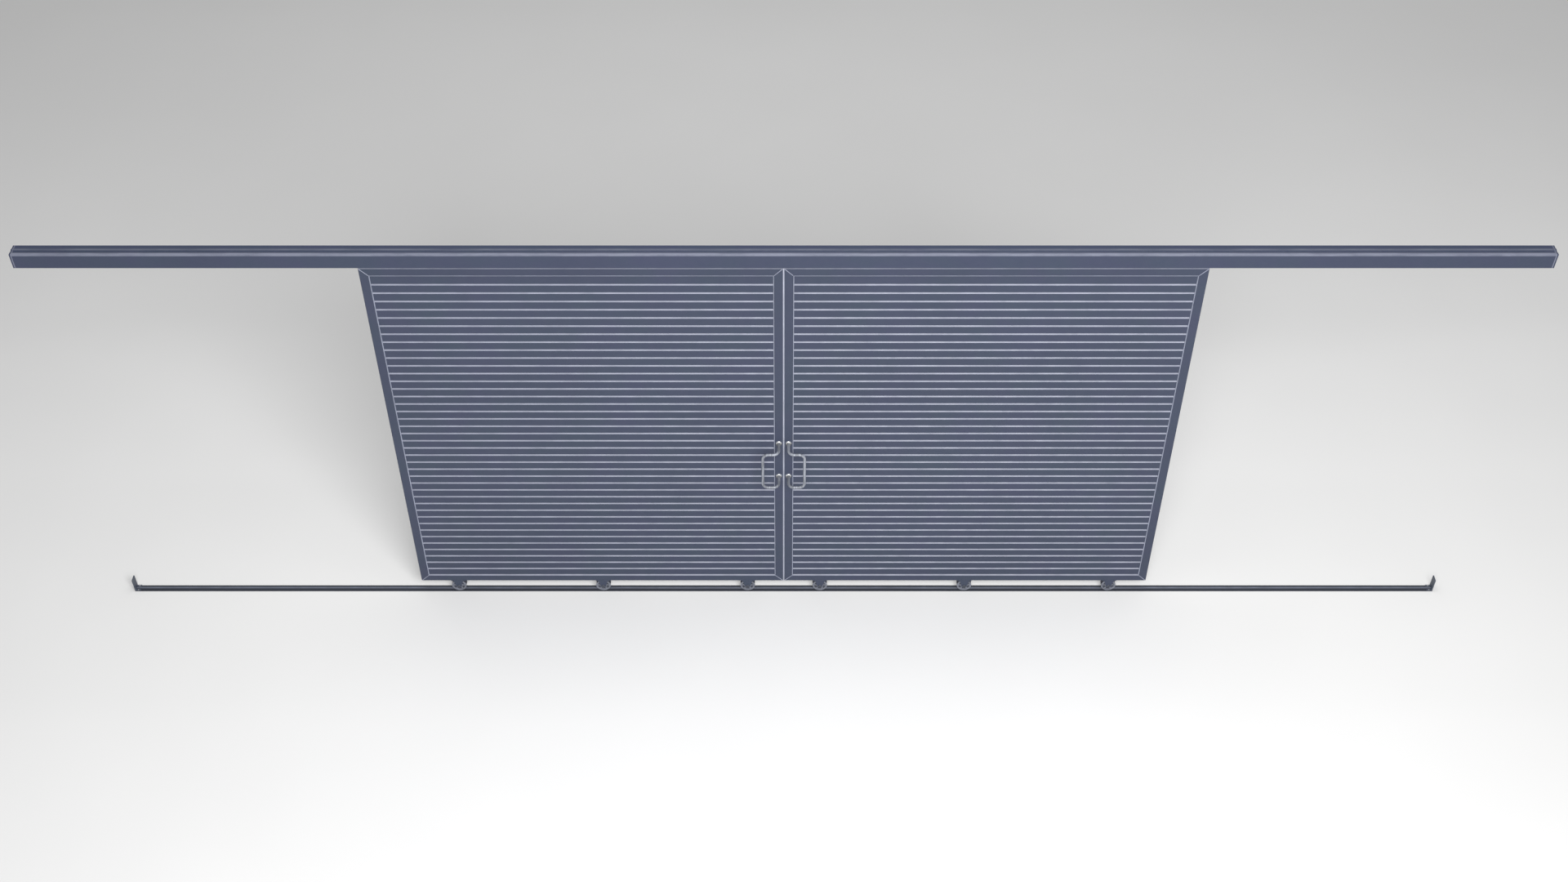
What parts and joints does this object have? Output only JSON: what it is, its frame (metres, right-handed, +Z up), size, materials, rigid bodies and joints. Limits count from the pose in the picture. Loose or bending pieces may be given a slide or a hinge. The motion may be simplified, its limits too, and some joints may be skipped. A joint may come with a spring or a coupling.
{
  "type": "sliding barn door pair",
  "caption": "Pair of slatted sliding doors on grooved floor wheels, with a floor rail, an overhead guide box, end stops and bent pull handles.",
  "frame": {"origin": "centre of the floor track's underside, on the floor", "axes": "+X along the rails to the right as seen from the handle side, -Y towards the handle side, +Z up"},
  "size_m": [7.214, 0.1495, 2.424],
  "materials": {
    "slate_paint": "satin powder coat, slate blue-grey",
    "slate_slat": "satin powder coat on slats",
    "box_paint": "satin powder coat on the guide box",
    "channel_metal": "satin powder coat on the extruded channel",
    "track_metal": "anodised grey, worn on the rail",
    "stop_paint": "satin powder coat",
    "wheel_polymer": "cast polymer, slightly worn tread",
    "roller_polymer": "natural white polymer",
    "bracket_paint": "satin powder coat",
    "brushed_steel": "satin brushed",
    "zinc_steel": "zinc plated",
    "key_aluminium": "mill finish",
    "handle_steel": "satin brushed",
    "seal_rubber": "matt pale grey strip",
    "rosette_steel": "polished"
  },
  "bodies": {
    "root": {"top_channel": "channel_metal", "front_fascia": "box_paint", "left_end_cap": "box_paint", "right_end_cap": "box_paint", "end_cap_screws": "zinc_steel", "floor_track": "track_metal", "left_end_stop": "stop_paint", "right_end_stop": "stop_paint", "end_stop_screws": "zinc_steel"},
    "left_leaf": {"left_top_rail": "slate_paint", "left_bottom_rail": "slate_paint", "left_outer_stile": "slate_paint", "left_meeting_stile": "slate_paint", "left_slats": "slate_slat", "left_corner_keys": "key_aluminium", "left_back_post": "slate_paint", "left_wheel_brackets": "bracket_paint", "left_bracket_screws": "zinc_steel", "left_axle_bolts": "brushed_steel", "left_axle_nuts": "brushed_steel", "left_axle_spacers": "zinc_steel", "left_guide_plates": "zinc_steel", "left_guide_bolts": "zinc_steel", "left_handle": "handle_steel", "left_handle_rosettes": "rosette_steel", "left_handle_bolts": "zinc_steel"},
    "right_leaf": {"right_top_rail": "slate_paint", "right_bottom_rail": "slate_paint", "right_outer_stile": "slate_paint", "right_meeting_stile": "slate_paint", "right_slats": "slate_slat", "right_corner_keys": "key_aluminium", "right_back_post": "slate_paint", "right_wheel_brackets": "bracket_paint", "right_bracket_screws": "zinc_steel", "right_axle_bolts": "brushed_steel", "right_axle_nuts": "brushed_steel", "right_axle_spacers": "zinc_steel", "right_guide_plates": "zinc_steel", "right_guide_bolts": "zinc_steel", "right_handle": "handle_steel", "right_handle_rosettes": "rosette_steel", "right_handle_bolts": "zinc_steel", "right_meeting_seal": "seal_rubber"},
    "left_inner_wheel": {"left_wheel_inner": "wheel_polymer", "left_bearings_inner": "zinc_steel"},
    "left_middle_wheel": {"left_wheel_middle": "wheel_polymer", "left_bearings_middle": "zinc_steel"},
    "left_outer_wheel": {"left_wheel_outer": "wheel_polymer", "left_bearings_outer": "zinc_steel"},
    "right_inner_wheel": {"right_wheel_inner": "wheel_polymer", "right_bearings_inner": "zinc_steel"},
    "right_middle_wheel": {"right_wheel_middle": "wheel_polymer", "right_bearings_middle": "zinc_steel"},
    "right_outer_wheel": {"right_wheel_outer": "wheel_polymer", "right_bearings_outer": "zinc_steel"},
    "left_inner_roller": {"left_guide_roller_inner": "roller_polymer"},
    "left_outer_roller": {"left_guide_roller_outer": "roller_polymer"},
    "right_inner_roller": {"right_guide_roller_inner": "roller_polymer"},
    "right_outer_roller": {"right_guide_roller_outer": "roller_polymer"}
  },
  "joints": [
    {"name": "left_leaf_slide", "type": "slide", "parent": "root", "child": "left_leaf", "axis": [-1, 0, 0], "range_m": [0, 1.757]},
    {"name": "left_inner_wheel_spin", "type": "hinge", "parent": "left_leaf", "child": "left_inner_wheel", "pos_m": [-0.2, 0, 0.046], "axis": [0, -1, 0], "continuous": true},
    {"name": "left_middle_wheel_spin", "type": "hinge", "parent": "left_leaf", "child": "left_middle_wheel", "pos_m": [-1, 0, 0.046], "axis": [0, -1, 0], "continuous": true},
    {"name": "left_outer_wheel_spin", "type": "hinge", "parent": "left_leaf", "child": "left_outer_wheel", "pos_m": [-1.8, 0, 0.046], "axis": [0, -1, 0], "continuous": true},
    {"name": "left_inner_roller_spin", "type": "hinge", "parent": "left_leaf", "child": "left_inner_roller", "pos_m": [-0.3, 0, 2.362], "axis": [0, 0, 1], "continuous": true},
    {"name": "left_outer_roller_spin", "type": "hinge", "parent": "left_leaf", "child": "left_outer_roller", "pos_m": [-1.7, 0, 2.362], "axis": [0, 0, 1], "continuous": true},
    {"name": "right_leaf_slide", "type": "slide", "parent": "root", "child": "right_leaf", "axis": [1, 0, 0], "range_m": [0, 1.757]},
    {"name": "right_inner_wheel_spin", "type": "hinge", "parent": "right_leaf", "child": "right_inner_wheel", "pos_m": [0.2, 0, 0.046], "axis": [0, 1, 0], "continuous": true},
    {"name": "right_middle_wheel_spin", "type": "hinge", "parent": "right_leaf", "child": "right_middle_wheel", "pos_m": [1, 0, 0.046], "axis": [0, 1, 0], "continuous": true},
    {"name": "right_outer_wheel_spin", "type": "hinge", "parent": "right_leaf", "child": "right_outer_wheel", "pos_m": [1.8, 0, 0.046], "axis": [0, 1, 0], "continuous": true},
    {"name": "right_inner_roller_spin", "type": "hinge", "parent": "right_leaf", "child": "right_inner_roller", "pos_m": [0.3, 0, 2.362], "axis": [0, 0, 1], "continuous": true},
    {"name": "right_outer_roller_spin", "type": "hinge", "parent": "right_leaf", "child": "right_outer_roller", "pos_m": [1.7, 0, 2.362], "axis": [0, 0, 1], "continuous": true}
  ],
  "couplings": [
    {"joint": "left_inner_wheel_spin", "follows": "left_leaf_slide", "rad_per_m": 29.674},
    {"joint": "left_middle_wheel_spin", "follows": "left_leaf_slide", "rad_per_m": 29.674},
    {"joint": "left_outer_wheel_spin", "follows": "left_leaf_slide", "rad_per_m": 29.674},
    {"joint": "right_inner_wheel_spin", "follows": "right_leaf_slide", "rad_per_m": 29.674},
    {"joint": "right_middle_wheel_spin", "follows": "right_leaf_slide", "rad_per_m": 29.674},
    {"joint": "right_outer_wheel_spin", "follows": "right_leaf_slide", "rad_per_m": 29.674}
  ]
}
